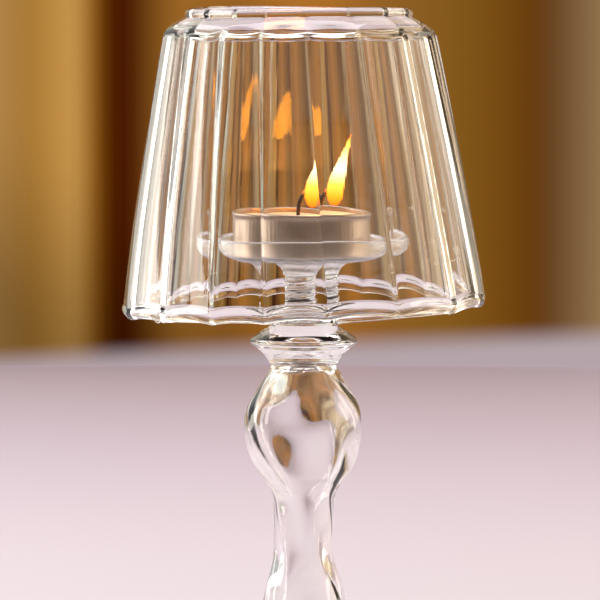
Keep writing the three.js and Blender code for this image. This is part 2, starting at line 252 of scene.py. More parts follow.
def clear_glass(name, fineness=40.0, stretch=4.0, relief=0.00001, haze=0.0, tint=(0.99, 0.99, 0.985)):
    """Clear fire-polished glass: lamps pass straight through it, so what stands inside is lit."""
    material, nodes, links = new_finish(name)
    glass = nodes["Principled BSDF"]
    glass.inputs["Transmission Weight"].default_value = 1.0
    glass.inputs["IOR"].default_value = glass_bend
    surface = nodes.new("ShaderNodeGroup")
    surface.node_tree = surface_group
    surface.inputs["Fineness"].default_value = fineness
    surface.inputs["Stretch"].default_value = stretch
    bump = nodes.new("ShaderNodeBump")
    bump.inputs["Strength"].default_value = 1.0
    bump.inputs["Distance"].default_value = relief
    colour = nodes.new("ShaderNodeMix")
    colour.data_type = "RGBA"
    colour.inputs["A"].default_value = (*tint, 1.0)
    colour.inputs["B"].default_value = (tint[0] * 0.975, tint[1] * 0.97, tint[2] * 0.965, 1.0)
    rough = nodes.new("ShaderNodeMapRange")
    rough.inputs["To Min"].default_value = haze
    rough.inputs["To Max"].default_value = haze + 0.03
    lamps = nodes.new("ShaderNodeBsdfTransparent")
    lamps.inputs["Color"].default_value = (0.95, 0.94, 0.95, 1.0)
    path = nodes.new("ShaderNodeLightPath")
    either = nodes.new("ShaderNodeMixShader")
    out = nodes["Material Output"]
    links.new(surface.outputs["Height"], bump.inputs["Height"])
    links.new(bump.outputs["Normal"], glass.inputs["Normal"])
    links.new(surface.outputs["Marks"], colour.inputs["Factor"])
    links.new(colour.outputs["Result"], glass.inputs["Base Color"])
    links.new(surface.outputs["Marks"], rough.inputs["Value"])
    links.new(rough.outputs[0], glass.inputs["Roughness"])
    links.new(path.outputs["Is Shadow Ray"], either.inputs["Fac"])
    links.new(glass.outputs[0], either.inputs[1])
    links.new(lamps.outputs[0], either.inputs[2])
    links.new(either.outputs[0], out.inputs["Surface"])
    return material


def sealed_glass():
    """Where two pieces of glass are fused there is no surface: light goes straight on."""
    material, nodes, links = new_finish("sealed_glass")
    nodes.remove(nodes["Principled BSDF"])
    through = nodes.new("ShaderNodeBsdfTransparent")
    links.new(through.outputs[0], nodes["Material Output"].inputs["Surface"])
    return material


sealed = sealed_glass()


def place_glass(piece, material, body, *nodes):
    """The piece stands for these nodes, rides on the body, and is clear glass but for its sealed faces."""
    piece.data.materials.append(material)
    piece.data.materials.append(sealed)
    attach(piece, body)
    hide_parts(*nodes)


foot_low, foot_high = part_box("foot")
foot_radius = (foot_high[0] - foot_low[0]) / 2
stem_low, stem_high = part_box("stem")
foot_top = stem_low[2]
throat_radius = (stem_high[0] - stem_low[0]) / 2
stem_wall = 0.0017
foot_edge = 0.0018
ring_width = 0.0034
foot_rib_height = 0.0003
foot_ribs = 10
foot_rib_twist = 14
foot_rib_fade = 0.004
foot_columns = 240

foot_rim = arc_line(foot_radius - foot_edge, foot_edge, foot_edge, -90, 90, 18)
foot_slope = smooth_line([
    (foot_radius - foot_edge, 2 * foot_edge),
    (foot_radius * 0.76, 0.0062),
    (foot_radius * 0.53, 0.0118),
    (throat_radius, foot_top),
], 60)
foot_under = smooth_line([
    (throat_radius - stem_wall, foot_top),
    (foot_radius * 0.53 - 0.0019, 0.0104),
    (foot_radius * 0.76 - 0.0016, 0.0040),
    (foot_radius - foot_edge - ring_width, 0.0),
], 60)
foot_line = np.vstack([foot_rim, foot_slope[1:], foot_under])
foot_angle = around(foot_columns)
foot_wave = np.cos(foot_ribs * (foot_angle + foot_rib_twist * foot_line[:, 1:]))
foot_share = np.clip((foot_radius - foot_line[:, :1]) / foot_radius * 2.2, 0, 1)
foot_share *= foot_line[:, 1:] > 2 * foot_edge
foot_share *= np.clip((foot_top - foot_line[:, 1:]) / foot_rib_fade, 0, 1)
foot_heights = foot_line[:, 1:] + foot_rib_height * foot_wave * foot_share
foot_grid = turned(foot_line[:, :1], foot_angle, foot_heights)
foot = skin("foot_glass", foot_grid, ring=True, sealed=[len(foot_rim) + len(foot_slope) - 2])
place_glass(foot, clear_glass("foot_glass", fineness=14, stretch=40, relief=0.00002), "holder", "foot")

# ---------------------------------------------------------------------------------------------------
# Stem: a blown tube with a flared skirt, a slim waist and a bulb, open inside from end to end.
# It was blown into a ribbed mould and twisted while hot, so its ribs wind a little over half way round.

bulb_radius = 0.01475
waist_radius = 0.00735
stem_top_radius = 0.0085
stem_ribs = 5
stem_turn = math.radians(200)
outer_rib = 0.00026
crown_wall = 0.0013
crown_share = 0.28
waist_wall = 0.0002
waist_wall_share = 0.22
waist_calm = 0.5
waist_share = 0.48
calm_spread = 0.14
inner_rib = 0.00016
stem_bottom, stem_top = stem_low[2], stem_high[2]
stem_length = stem_top - stem_bottom
stem_shape = [
    (throat_radius, 0.0), (0.0133, 0.085), (0.0112, 0.19), (0.0096, 0.285), (0.0078, 0.365),
    (waist_radius, 0.43), (0.0075, 0.52), (0.0078, 0.58), (0.0095, 0.625), (0.0125, 0.685),
    (0.0143, 0.755), (bulb_radius, 0.82), (0.0141, 0.87), (0.0117, 0.93), (0.0095, 0.978),
    (stem_top_radius, 1.0),
]
stem_outside = smooth_line(stem_shape, 170)
stem_outside[:, 1] = stem_bottom + stem_length * stem_outside[:, 1]
inside_share = np.linspace(1, 0, 170)
stem_inside = stem_outside[::-1] - [stem_wall, 0.0]
stem_inside[:, 0] -= crown_wall * np.clip(1 - (1 - inside_share) / crown_share, 0, 1) ** 1.6
stem_inside[:, 0] -= waist_wall * np.clip(1 - np.abs(inside_share - 0.5) / waist_wall_share, 0, 1)
stem_line = np.vstack([stem_outside, stem_inside])
stem_share = (stem_line[:, 1:] - stem_bottom) / stem_length
stem_angle = around(220)
stem_wave = np.cos(stem_ribs * (stem_angle + stem_turn * stem_share))
stem_rib = np.where(np.arange(len(stem_line)) < len(stem_outside), outer_rib, -inner_rib)[:, None]
# The ribs fade out at either end, where the glass was sealed, and are lower round the waist.
stem_swell = np.clip(np.minimum(stem_share, 1 - stem_share) / 0.08, 0, 1) ** 0.5
stem_swell = stem_swell * (1 - waist_calm * np.exp(-((stem_share - waist_share) / calm_spread) ** 2))
stem_grid = turned(stem_line[:, :1] + stem_rib * stem_swell * stem_wave, stem_angle, stem_line[:, 1:])
stem = skin("stem_glass", stem_grid, ring=True, sealed=[len(stem_outside) - 1, len(stem_line) - 1])
place_glass(stem, clear_glass("stem_glass", fineness=8, stretch=30, relief=0.00002), "holder", "stem")

# ---------------------------------------------------------------------------------------------------
# Collar: a solid gather pressed into a sharp-edged knop with a domed top, sealed over the bulb.
# Its underside is the smooth roof of the bubble in the bulb.

collar_low, collar_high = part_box("collar")
hub_low, hub_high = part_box("arm_hub")
collar_radius = (collar_high[0] - collar_low[0]) / 2
collar_bottom, collar_top = stem_high[2], hub_low[2]
hub_radius = (hub_high[0] - hub_low[0]) / 2
hub_bottom, hub_top = hub_low[2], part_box("neck")[0][2]
hub_edge = (hub_top - hub_bottom) / 2
collar_bore = stem_top_radius - stem_wall - crown_wall
flange_height = collar_bottom + 0.0069
flange_edge = 0.0011
collar_unevenness = 0.006

collar_roof = smooth_line([
    (0.0, collar_bottom + 0.0026), (collar_bore * 0.6, collar_bottom + 0.0021),
    (collar_bore, collar_bottom),
], 24)
collar_flank = smooth_line([
    (stem_top_radius, collar_bottom), (0.00865, collar_bottom + 0.0014), (0.0101, collar_bottom + 0.0035),
    (0.0121, collar_bottom + 0.0054), (collar_radius - flange_edge * 0.8, flange_height - flange_edge),
], 34)
collar_brim = arc_line(collar_radius - flange_edge, flange_height, flange_edge, -40, 50, 8)
collar_dome = smooth_line([
    (collar_radius - flange_edge * 0.7, flange_height + flange_edge), (0.0121, collar_bottom + 0.0085),
    (0.0101, collar_bottom + 0.0098), (hub_radius - hub_edge, collar_top),
], 34)
collar_line = np.vstack([
    collar_roof, collar_flank, collar_brim, collar_dome, [(0.0, collar_top)],
])
collar_seals = [len(collar_roof) - 1, len(collar_line) - 2]
collar_angle = around(160)
collar_clear = collar_line[:, :1] > stem_top_radius * 1.02
collar_uneven = 1 + collar_unevenness * np.sin(2 * collar_angle + 0.7) * collar_clear
collar_radii = collar_line[:, :1] * collar_uneven / (1 + collar_unevenness)
collar_grid = turned(collar_radii, collar_angle, collar_line[:, 1:])
collar = skin("collar_glass", collar_grid, ring=False, sealed=collar_seals)
place_glass(collar, clear_glass("collar_glass", fineness=6, stretch=30), "holder", "collar")

# ---------------------------------------------------------------------------------------------------
# Hub and arms: a small round-edged disc with three thin rods pulled out of it, a third of a turn apart.
# Each rod sags a little and ends in a fire-polished ball; the shade's lower bead sits on the three.

neck_low, neck_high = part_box("neck")
neck_bottom, neck_top = neck_low[2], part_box("dish")[0][2]
neck_head_radius = (neck_high[0] - neck_low[0]) / 2
neck_foot_radius = hub_radius - hub_edge - 0.0001
hub_line = np.vstack([
    [(0.0, hub_bottom)],
    arc_line(hub_radius - hub_edge, hub_bottom + hub_edge, hub_edge, -90, 90, 26),
    [(neck_foot_radius, hub_top), (0.0, hub_top)],
])
hub_angle = around(140)
hub = skin("hub_glass", turned(hub_line[:, :1], hub_angle, hub_line[:, 1:]), ring=False,
           sealed=[0, len(hub_line) - 2])
hub_glass = clear_glass("hub_glass", fineness=5, stretch=30)
place_glass(hub, hub_glass, "holder", "arm_hub")

shade_low, shade_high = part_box("shade")
rod_radius = 0.001
rod_root = 0.0004
root_swell = 0.7
root_fade = 0.0016
ball_radius = 0.0012
rim_tilt = 0.03


def arm_grid(reach, rise, bearing):
    """Rod along a path: s from 0 to 1 goes from the hub outwards, with a sag and a ball at the end.

    The section's radius flares where it leaves the hub and is a half circle over the ball, and each
    section stands square to the path.
    """
    rod_share = 0.93
    ball_share = (1 - rod_share) * np.sin(np.linspace(0, math.pi / 2, 24)[1:])
    s = np.concatenate([np.linspace(0, rod_share, 60), rod_share + ball_share])
    start = hub_radius - rod_root
    out = start + (reach - start) * s
    up = hub_bottom + hub_edge + (rise - hub_bottom - hub_edge) * s**1.15
    tangent = np.arctan2(np.gradient(up), np.gradient(out))
    from_end = (reach - out) / ball_radius - 1
    ball = ball_radius * np.sqrt(np.clip(1 - from_end**2, 0, 1))
    rod = rod_radius * (1 + root_swell * np.exp(-(out - start) / root_fade))
    thick = np.where(from_end < 0, ball, np.maximum(rod, ball * (from_end < 1)))
    thick[0] = thick[-1] = 0.0
    thick = np.insert(thick, 1, rod[0])
    out, up, tangent = (np.insert(v, 1, v[0]) for v in (out, up, tangent))
    angle = around(32)
    side = thick[:, None] * np.sin(angle)
    lift = thick[:, None] * np.cos(angle)
    along = out[:, None] - lift * np.sin(tangent)[:, None]
    height = up[:, None] + lift * np.cos(tangent)[:, None]
    x = along * math.cos(bearing) - side * math.sin(bearing)
    y = along * math.sin(bearing) + side * math.cos(bearing)
    return np.stack([x, y, height], -1)


arm_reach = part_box("arm_back")[1][1]
arm_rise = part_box("arm_back")[1][2] - ball_radius
for node, degrees in {"arm_back": 90, "arm_left": 210, "arm_right": 330}.items():
    bearing = math.radians(degrees)
    seat = arm_rise + rim_tilt * arm_reach * math.cos(bearing)
    arm = skin(node + "_glass", arm_grid(arm_reach, seat, bearing), ring=False)
    place_glass(arm, hub_glass, "holder", node)

# ---------------------------------------------------------------------------------------------------
# Neck: a solid rod that was twisted while soft, which left a pulled thread round it.
# It flares at both ends, where it is sealed to the hub below and to the dish above.

neck_radius = 0.0059
neck_length = neck_top - neck_bottom
thread_pitch = 0.0019
thread_height = 0.00038
foot_flare_share = 0.26
head_flare_share = 0.42
neck_rise = np.linspace(0, 1, 200)[:, None]
foot_flare = (neck_foot_radius - neck_radius) * np.clip(1 - neck_rise / foot_flare_share, 0, 1) ** 2.2
head_flare = (neck_head_radius - neck_radius) * np.clip(1 - (1 - neck_rise) / head_flare_share, 0, 1) ** 3
neck_angle = around(120)
thread_phase = 2 * math.pi * neck_rise * neck_length / thread_pitch - neck_angle
thread_share = np.clip((neck_rise - 0.08) / 0.12, 0, 1) * np.clip((0.8 - neck_rise) / 0.12, 0, 1)
thread = thread_height * thread_share * (np.abs(np.sin(thread_phase / 2)) * 2 - 1)
neck_side = neck_radius + foot_flare + head_flare + thread
neck_heights = neck_bottom + neck_length * neck_rise
neck_grid = np.concatenate([
    turned(0.0, neck_angle, np.full((1, 1), neck_bottom)),
    turned(neck_side, neck_angle, neck_heights),
    turned(0.0, neck_angle, np.full((1, 1), neck_top)),
])
neck = skin("neck_glass", neck_grid, ring=False, sealed=[0, len(neck_grid) - 2])
place_glass(neck, clear_glass("neck_glass", fineness=8, stretch=60), "holder", "neck")

# ---------------------------------------------------------------------------------------------------
# Dish: a shallow pan, opened on the neck and fire-polished at its rim, that the tealight stands in.
# Clear glass about 1.5 mm thick with a rounded lower corner and a floor that is a little thicker.

dish_low, dish_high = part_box("dish")
cup_low, cup_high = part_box("tealight_cup")
dish_radius = (dish_high[0] - dish_low[0]) / 2
dish_bottom, dish_top = neck_top, dish_high[2]
dish_floor = cup_low[2] - 0.0003
dish_wall = 0.0015
dish_corner = 0.0029
dish_lip = dish_wall / 2
dish_unevenness = 0.0002
dish_bend = dish_corner - dish_wall / 2
dish_line = np.vstack([
    [(0.0, dish_bottom)],
    smooth_line([
        (neck_head_radius, dish_bottom), (dish_radius * 0.68, dish_bottom + 0.0006),
        (dish_radius * 0.87, dish_bottom + 0.0017), (dish_radius * 0.97, dish_bottom + 0.0033),
        (dish_radius, dish_bottom + 0.0047),
    ], 34),
    arc_line(dish_radius - dish_lip, dish_top - dish_lip, dish_lip, 0, 180, 22),
    arc_line(dish_radius - dish_wall - dish_bend, dish_floor + dish_bend, dish_bend, 0, -90, 20),
    [(0.0, dish_floor)],
])
dish_angle = around(240)
dish_edge = np.clip((dish_line[:, 1:] - dish_floor) / (dish_top - dish_floor), 0, 1)
dish_sway = dish_unevenness * dish_edge * (np.sin(3 * dish_angle + 1.0) - 1)
dish_grid = turned(dish_line[:, :1], dish_angle, dish_line[:, 1:] + dish_sway)
dish = skin("dish_glass", dish_grid, ring=False, sealed=[0])
dish_glass = clear_glass("dish_glass", fineness=16, stretch=30, haze=0.24, tint=(1.0, 0.99, 0.98))
place_glass(dish, dish_glass, "holder", "dish")

# ---------------------------------------------------------------------------------------------------
# Tealight cup: drawn aluminium foil with a rolled lip, slightly rippled by the press and dented by hand.
# It is bought filled, and lies loose in the dish.

cup_radius = (cup_high[0] - cup_low[0]) / 2
cup_bottom, cup_top = cup_low[2], cup_high[2]
lip_radius = 0.00045
cup_wall = 0.0004
cup_side = cup_radius - lip_radius
cup_bore = cup_side - cup_wall
cup_corner = 0.0012
press_ripple = 0.00003
dent = 0.00005
cup_line = np.vstack([
    [(0.0, cup_bottom + 0.0003), (0.0105, cup_bottom + 0.0003), (0.0112, cup_bottom)],
    arc_line(cup_side - cup_corner, cup_bottom + cup_corner, cup_corner, -90, 0, 12),
    np.column_stack([np.full(12, cup_side), np.linspace(cup_bottom + 0.0022, cup_top - 0.0016, 12)]),
    arc_line(cup_side, cup_top - lip_radius, lip_radius, -70, 200, 16),
    arc_line(cup_bore - cup_corner, cup_bottom + cup_wall + cup_corner, cup_corner, 0, -90, 8),
    [(0.0, cup_bottom + cup_wall + 0.0001)],
])
cup_angle = around(288)
cup_share = np.clip((cup_line[:, 1:] - cup_bottom - cup_corner) / 0.002, 0, 1)
cup_ripple = press_ripple * np.sin(72 * cup_angle) + dent * np.sin(5 * cup_angle + 0.4)
cup_ripple = cup_ripple + press_ripple * np.sin(11 * cup_angle + 600 * cup_line[:, 1:])
cup_ripple = cup_ripple - press_ripple - dent
cup_grid = turned(cup_line[:, :1] + cup_ripple * cup_share, cup_angle, cup_line[:, 1:])
cup = skin("tealight_cup_metal", cup_grid, ring=False)


def drawn_aluminium():
    """Satin aluminium with faint draw lines up its wall and fine scratches; its colour is a dark warm
    brown, a painted reflection of the dark room round it.
    """
    material, nodes, links = new_finish("drawn_aluminium")
    metal = nodes["Principled BSDF"]
    metal.inputs["Metallic"].default_value = 1.0
    surface = nodes.new("ShaderNodeGroup")
    surface.node_tree = surface_group
    surface.inputs["Fineness"].default_value = 60.0
    surface.inputs["Stretch"].default_value = 30.0
    bump = nodes.new("ShaderNodeBump")
    bump.inputs["Strength"].default_value = 0.7
    bump.inputs["Distance"].default_value = 0.00003
    # Both tones are dark warm brown, not aluminium's pale grey: painted reflection of the dark warm room
    # round the cup. The mix between them follows the finger marks.
    colour = nodes.new("ShaderNodeMix")
    colour.data_type = "RGBA"
    colour.inputs["A"].default_value = (0.43, 0.335, 0.265, 1.0)
    colour.inputs["B"].default_value = (0.36, 0.275, 0.215, 1.0)
    rough = nodes.new("ShaderNodeMapRange")
    rough.inputs["To Min"].default_value = 0.33
    rough.inputs["To Max"].default_value = 0.44
    links.new(surface.outputs["Height"], bump.inputs["Height"])
    links.new(bump.outputs["Normal"], metal.inputs["Normal"])
    links.new(surface.outputs["Marks"], colour.inputs["Factor"])
    links.new(colour.outputs["Result"], metal.inputs["Base Color"])
    links.new(surface.outputs["Marks"], rough.inputs["Value"])
    links.new(rough.outputs[0], metal.inputs["Roughness"])
    return material


cup.data.materials.append(drawn_aluminium())
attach(cup, "tealight")
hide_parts("tealight_cup")

# ---------------------------------------------------------------------------------------------------
# Wax: paraffin cast into the cup, with a melted pool round the wick and a rim that is still solid.
# Its colour is set orange and it glows warm near the wick, fading towards the cup: painted light from the
# flame above.

wax_low, wax_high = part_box("wax")
wick_low, wick_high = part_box("wick")
wax_radius = (wax_high[0] - wax_low[0]) / 2
wax_bottom, wax_top = wax_low[2], wax_high[2]
wick_radius = 0.0008
pool_depth = 0.0006
shore_radius = 0.0145
shore_spread = 0.0016
wax_line = np.vstack([
    [(wick_radius + 0.0002, wax_bottom + 0.004), (wick_radius + 0.0002, wax_top - pool_depth + 0.0003)],
    smooth_line([
        (wick_radius + 0.0003, wax_top - pool_depth + 0.0003), (0.0022, wax_top - pool_depth),
        (0.0070, wax_top - pool_depth), (0.0130, wax_top - pool_depth * 0.97),
        (0.0150, wax_top - pool_depth * 0.4), (0.0165, wax_top - pool_depth * 0.25),
        (wax_radius, wax_top),
    ], 60),
    smooth_line([(wax_radius, wax_top - 0.0003), (wax_radius, wax_bottom + 0.002),
                 (wax_radius - 0.0012, wax_bottom)], 14),
    [(0.0070, wax_bottom), (0.0070, wax_bottom + 0.0007), (0.0024, wax_bottom + 0.0008),
     (0.0024, wax_bottom + 0.0037)],
])
wax_angle = around(200)
wax_shore = np.exp(-((wax_line[:, :1] - shore_radius) / shore_spread) ** 2)
wax_shore = wax_shore * (wax_line[:, 1:] > wax_top - 0.002)
wax_uneven = 0.0005 * np.sin(3 * wax_angle + 0.5) + 0.00025 * np.sin(7 * wax_angle + 2.0)
wax_grid = turned(wax_line[:, :1] + wax_shore * wax_uneven, wax_angle, wax_line[:, 1:])
wax = skin("wax_fill", wax_grid, ring=True)


def lit_paraffin():
    """Paraffin that scatters light, glossy where it has melted, with painted flame light: an orange colour
    and a warm glow brightest near the wick.
    """
    material, nodes, links = new_finish("lit_paraffin")
    wax_shader = nodes["Principled BSDF"]
    wax_shader.inputs["Subsurface Weight"].default_value = 0.7
    wax_shader.inputs["Subsurface Radius"].default_value = (1.0, 0.55, 0.3)
    wax_shader.inputs["Subsurface Scale"].default_value = 0.004
    wax_shader.inputs["IOR"].default_value = 1.44
    wax_shader.inputs["Emission Strength"].default_value = 0.3
    place = nodes.new("ShaderNodeTexCoord")
    spread = nodes.new("ShaderNodeMapping")
    spread.inputs["Scale"].default_value = (1.0, 1.0, 0.0)
    length = nodes.new("ShaderNodeVectorMath")
    length.operation = "LENGTH"
    # Painted flame light: an emission glow, orange near the wick and duller towards the cup.
    painted_glow = nodes.new("ShaderNodeValToRGB")
    painted_glow.color_ramp.elements[0].position = 0.05
    painted_glow.color_ramp.elements[0].color = (1.0, 0.42, 0.08, 1.0)
    painted_glow.color_ramp.elements[1].position = 1.0
    painted_glow.color_ramp.elements[1].color = (0.42, 0.20, 0.08, 1.0)
    painted_glow.color_ramp.elements.new(0.45).color = (0.75, 0.28, 0.06, 1.0)
    share = nodes.new("ShaderNodeMapRange")
    share.inputs["From Max"].default_value = wax_radius
    cloud = nodes.new("ShaderNodeTexNoise")
    cloud.inputs["Scale"].default_value = 420.0
    cloud.inputs["Detail"].default_value = 5.0
    # The two wax tones are orange rather than white: painted flame light. The noise between them is the
    # wax's own mottling.
    colour = nodes.new("ShaderNodeMix")
    colour.data_type = "RGBA"
    colour.inputs["A"].default_value = (0.70, 0.42, 0.22, 1.0)
    colour.inputs["B"].default_value = (0.80, 0.54, 0.32, 1.0)
    pool = nodes.new("ShaderNodeMapRange")
    pool.inputs["From Min"].default_value = 0.0135
    pool.inputs["From Max"].default_value = 0.0155
    pool.inputs["To Min"].default_value = 0.06
    pool.inputs["To Max"].default_value = 0.45
    bump = nodes.new("ShaderNodeBump")
    bump.inputs["Strength"].default_value = 0.25
    bump.inputs["Distance"].default_value = 0.0001
    links.new(place.outputs["Object"], spread.inputs["Vector"])
    links.new(spread.outputs[0], length.inputs[0])
    links.new(length.outputs["Value"], share.inputs["Value"])
    links.new(share.outputs[0], painted_glow.inputs["Fac"])
    links.new(painted_glow.outputs["Color"], wax_shader.inputs["Emission Color"])
    links.new(place.outputs["Object"], cloud.inputs["Vector"])
    links.new(cloud.outputs["Fac"], colour.inputs["Factor"])
    links.new(colour.outputs["Result"], wax_shader.inputs["Base Color"])
    links.new(length.outputs["Value"], pool.inputs["Value"])
    links.new(pool.outputs[0], wax_shader.inputs["Roughness"])
    links.new(cloud.outputs["Fac"], bump.inputs["Height"])
    links.new(bump.outputs["Normal"], wax_shader.inputs["Normal"])
    return material


wax.data.materials.append(lit_paraffin())
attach(wax, "tealight")
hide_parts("wax")

# ---------------------------------------------------------------------------------------------------
# Wick and tab: a braided cotton wick, burnt black and curled over, in a tinned tab at the cup's floor.
# The braid is three strands that cross; the tip still glows.

tip_x = wick_high[0] - wick_radius * 0.6
tip_z = wick_high[2]
burn_z = wax_top
strand_depth = 0.16
ply_depth = 0.07


def braid_grid(path, radius, turns):
    """Tube along a path in the XZ plane whose section has three lobes that turn as it rises."""
    s = np.linspace(0, 1, len(path))[:, None]
    angle = around(36)
    strands = strand_depth * np.cos(3 * (angle - 2 * math.pi * turns * s))
    lobes = 1 + strands + ply_depth * np.cos(6 * (angle + 9 * s))
    end = np.clip(s / 0.01, 0, 1) * np.clip((1 - s) / 0.03, 0, 1) ** 0.5
    thick = radius * lobes * end / 1.2
    slope = np.arctan2(np.gradient(path[:, 0]), np.gradient(path[:, 1]))[:, None]
    x = path[:, :1] + thick * np.cos(angle) * np.cos(slope)
    y = thick * np.sin(angle)
    z = path[:, 1:] - thick * np.cos(angle) * np.sin(slope)
    return np.stack([x, y, z], -1)


wick_path = smooth_line([
    (0.0, wick_low[2]), (0.0, (wick_low[2] + burn_z) / 2), (0.0, burn_z - 0.0003),
    (tip_x * 0.22, burn_z + (tip_z - burn_z) * 0.5), (tip_x, tip_z - 0.0004),
], 160)
wick = skin("wick_braid", braid_grid(wick_path, wick_radius, 7), ring=False)


def charred_braid():
    """Burnt cotton: soot black with grey ash on the strands, and an ember at the tip."""
    material, nodes, links = new_finish("charred_braid")
    cotton = nodes["Principled BSDF"]
    cotton.inputs["Emission Strength"].default_value = 2.5
    place = nodes.new("ShaderNodeTexCoord")
    split = nodes.new("ShaderNodeSeparateXYZ")
    soot = nodes.new("ShaderNodeTexNoise")
    soot.inputs["Scale"].default_value = 2600.0
    soot.inputs["Detail"].default_value = 6.0
    colour = nodes.new("ShaderNodeValToRGB")
    colour.color_ramp.elements[0].position = 0.4
    colour.color_ramp.elements[0].color = (0.006, 0.004, 0.004, 1.0)
    colour.color_ramp.elements[1].position = 0.75
    colour.color_ramp.elements[1].color = (0.06, 0.035, 0.03, 1.0)
    ember = nodes.new("ShaderNodeValToRGB")
    ember.color_ramp.elements[0].position = 0.80
    ember.color_ramp.elements[0].color = (0.0, 0.0, 0.0, 1.0)
    ember.color_ramp.elements[1].position = 1.0
    ember.color_ramp.elements[1].color = (1.0, 0.22, 0.03, 1.0)
    rise = nodes.new("ShaderNodeMapRange")
    rise.inputs["From Min"].default_value = burn_z
    rise.inputs["From Max"].default_value = tip_z
    rough = nodes.new("ShaderNodeMapRange")
    rough.inputs["To Min"].default_value = 0.7
    rough.inputs["To Max"].default_value = 1.0
    bump = nodes.new("ShaderNodeBump")
    bump.inputs["Strength"].default_value = 0.8
    bump.inputs["Distance"].default_value = 0.0001
    links.new(place.outputs["Object"], soot.inputs["Vector"])
    links.new(place.outputs["Object"], split.inputs[0])
    links.new(soot.outputs["Fac"], colour.inputs["Fac"])
    links.new(colour.outputs["Color"], cotton.inputs["Base Color"])
    links.new(split.outputs["Z"], rise.inputs["Value"])
    links.new(rise.outputs[0], ember.inputs["Fac"])
    links.new(ember.outputs["Color"], cotton.inputs["Emission Color"])
    links.new(soot.outputs["Fac"], rough.inputs["Value"])
    links.new(rough.outputs[0], cotton.inputs["Roughness"])
    links.new(soot.outputs["Fac"], bump.inputs["Height"])
    links.new(bump.outputs["Normal"], cotton.inputs["Normal"])
    return material


wick.data.materials.append(charred_braid())
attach(wick, "tealight")
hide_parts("wick")


def tinned_steel():
    """Tinned tab: dull metal with a mottled tin coat."""
    material, nodes, links = new_finish("tinned_steel")
    metal = nodes["Principled BSDF"]
    metal.inputs["Metallic"].default_value = 1.0
    place = nodes.new("ShaderNodeTexCoord")
    mottle = nodes.new("ShaderNodeTexNoise")
    mottle.inputs["Scale"].default_value = 900.0
    colour = nodes.new("ShaderNodeMix")
    colour.data_type = "RGBA"
    colour.inputs["A"].default_value = (0.50, 0.49, 0.48, 1.0)
    colour.inputs["B"].default_value = (0.66, 0.65, 0.63, 1.0)
    rough = nodes.new("ShaderNodeMapRange")
    rough.inputs["To Min"].default_value = 0.3
    rough.inputs["To Max"].default_value = 0.55
    links.new(place.outputs["Object"], mottle.inputs["Vector"])
    links.new(mottle.outputs["Fac"], colour.inputs["Factor"])
    links.new(colour.outputs["Result"], metal.inputs["Base Color"])
    links.new(mottle.outputs["Fac"], rough.inputs["Value"])
    links.new(rough.outputs[0], metal.inputs["Roughness"])
    return material


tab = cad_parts["wick_tab"]
tab.data.materials.clear()
tab.data.materials.append(tinned_steel())

# ---------------------------------------------------------------------------------------------------
# Flame: burning vapour that wraps the wick's bent end and is drawn to the right, with a pointed tip.
# Deep orange and thin at its foot, white-yellow in the body, orange again at the very tip.

flame_base_z = wax_top + 0.0024
flame_tip = (0.0130, 0.1562)
flame_width = 0.0032


def flame_grid():
    """Teardrop along a leaning path, s running from 0 at its foot to 1 at its tip.

    Its radius is width * sin(pi s^0.62)^0.85, thinned by a quarter towards the tip.
    """
    path = smooth_line([
        (tip_x + 0.0016, flame_base_z), (tip_x + 0.0030, flame_base_z + 0.0045),
        (tip_x + 0.0058, flame_base_z + 0.0105), flame_tip,
    ], 120)
    s = np.linspace(0, 1, len(path))[:, None]
    thick = flame_width * np.sin(math.pi * s**0.62) ** 0.85 * (1 - 0.25 * s)
    thick[0] = thick[-1] = 0.0
    slope = np.arctan2(np.gradient(path[:, 0]), np.gradient(path[:, 1]))[:, None]
    angle = around(64)
    lick = 1 + 0.05 * np.sin(2 * angle + 5 * s)
    x = path[:, :1] + thick * lick * np.cos(angle) * np.cos(slope)
    y = thick * lick * np.sin(angle)
    z = path[:, 1:] - thick * lick * np.cos(angle) * np.sin(slope)
    return np.stack([x, y, z], -1)


flame = skin("flame", flame_grid(), ring=False)


